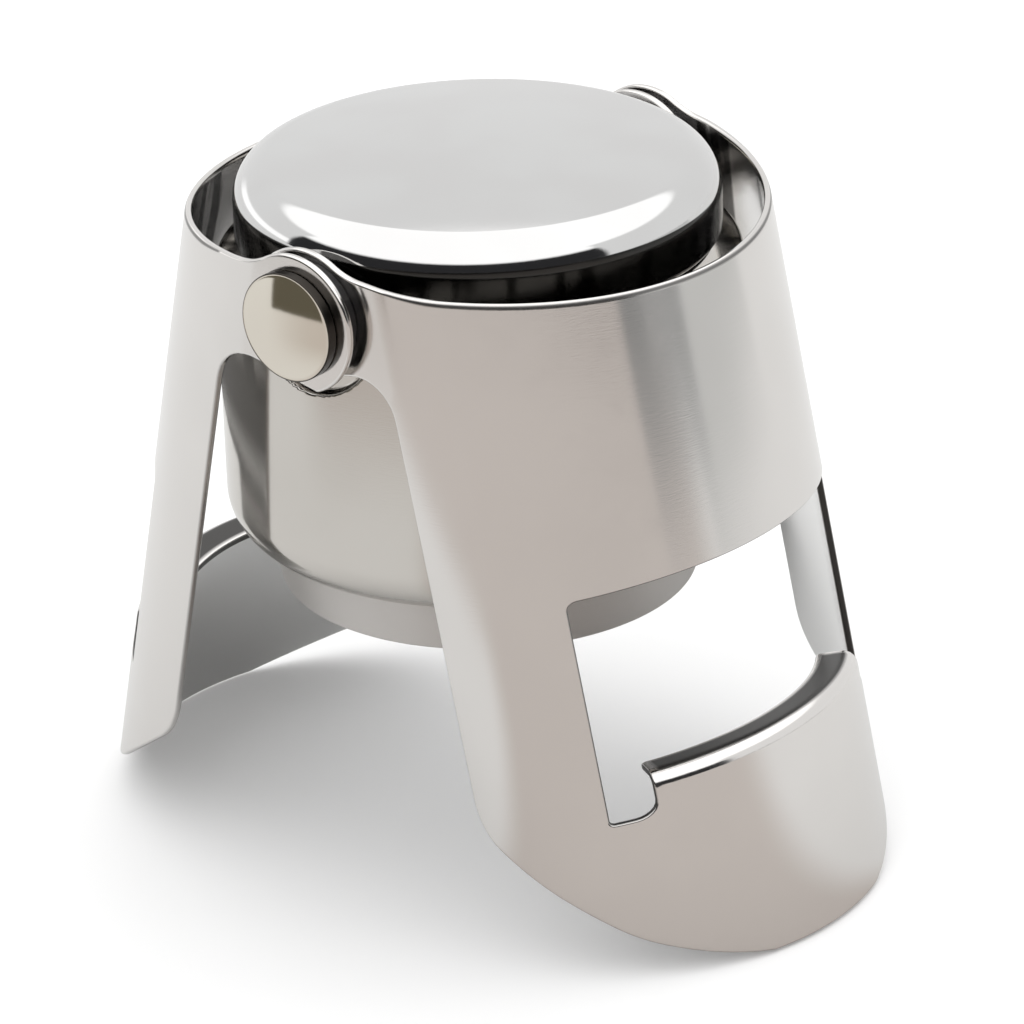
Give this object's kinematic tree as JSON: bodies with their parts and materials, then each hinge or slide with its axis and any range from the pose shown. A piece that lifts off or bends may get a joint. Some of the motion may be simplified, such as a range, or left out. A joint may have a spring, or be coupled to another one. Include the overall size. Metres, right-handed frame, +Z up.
{
  "type": "champagne stopper",
  "caption": "Domed stainless steel bottle stopper with a sprung rubber seal and hinged skirt wings that clip under the rim of a sparkling wine bottle.",
  "frame": {"origin": "centre of the stopper's bounding box on the surface that the feet of the open wings stand on", "axes": "+Z up along the axis of the dome and cup, Y along the pivot line of the wings with the front rivet towards -Y, wings open towards +X and -X"},
  "size_m": [0.068, 0.0466, 0.0576],
  "materials": {
    "wing_steel": "polished stainless steel",
    "dome_steel": "polished stainless steel",
    "cup_steel": "polished stainless steel",
    "plain_steel": "satin",
    "spring_steel": "drawn wire",
    "rivet_nickel": "polished nickel plate",
    "seal_rubber": "matte food-grade rubber",
    "bush_nylon": "moulded",
    "washer_nylon": "moulded"
  },
  "bodies": {
    "cap": {"dome_cap": "dome_steel", "outer_cup": "cup_steel", "guide_bush": "bush_nylon", "spring_seat": "plain_steel", "seal_spring": "spring_steel", "rivet_front": "rivet_nickel", "rivet_rear": "rivet_nickel", "rivet_plate_front": "plain_steel", "rivet_plate_rear": "plain_steel", "pivot_spacer_front": "washer_nylon", "pivot_spacer_rear": "washer_nylon", "pivot_shim_front": "washer_nylon", "pivot_shim_rear": "washer_nylon"},
    "right_wing": {"wing_right": "wing_steel"},
    "left_wing": {"wing_left": "wing_steel"},
    "plunger": {"inner_cup": "cup_steel", "seal_plate": "plain_steel", "seal_disc": "seal_rubber", "seal_washer": "plain_steel", "stem_screw": "plain_steel", "stem_nut": "plain_steel", "stem_bumper": "seal_rubber"}
  },
  "joints": [
    {"name": "right_wing_pivot", "type": "hinge", "parent": "cap", "child": "right_wing", "pos_m": [0, 0, 0.04993], "axis": [0, -1, 0], "range_deg": [-12, 33]},
    {"name": "left_wing_pivot", "type": "hinge", "parent": "cap", "child": "left_wing", "pos_m": [0, 0, 0.04993], "axis": [0, 1, 0], "range_deg": [-12, 33]},
    {"name": "seal_travel", "type": "slide", "parent": "cap", "child": "plunger", "axis": [0, 0, 1], "range_m": [0, 0.003], "stiffness_N_per_m": 2500, "deforming": ["seal_spring"]}
  ]
}
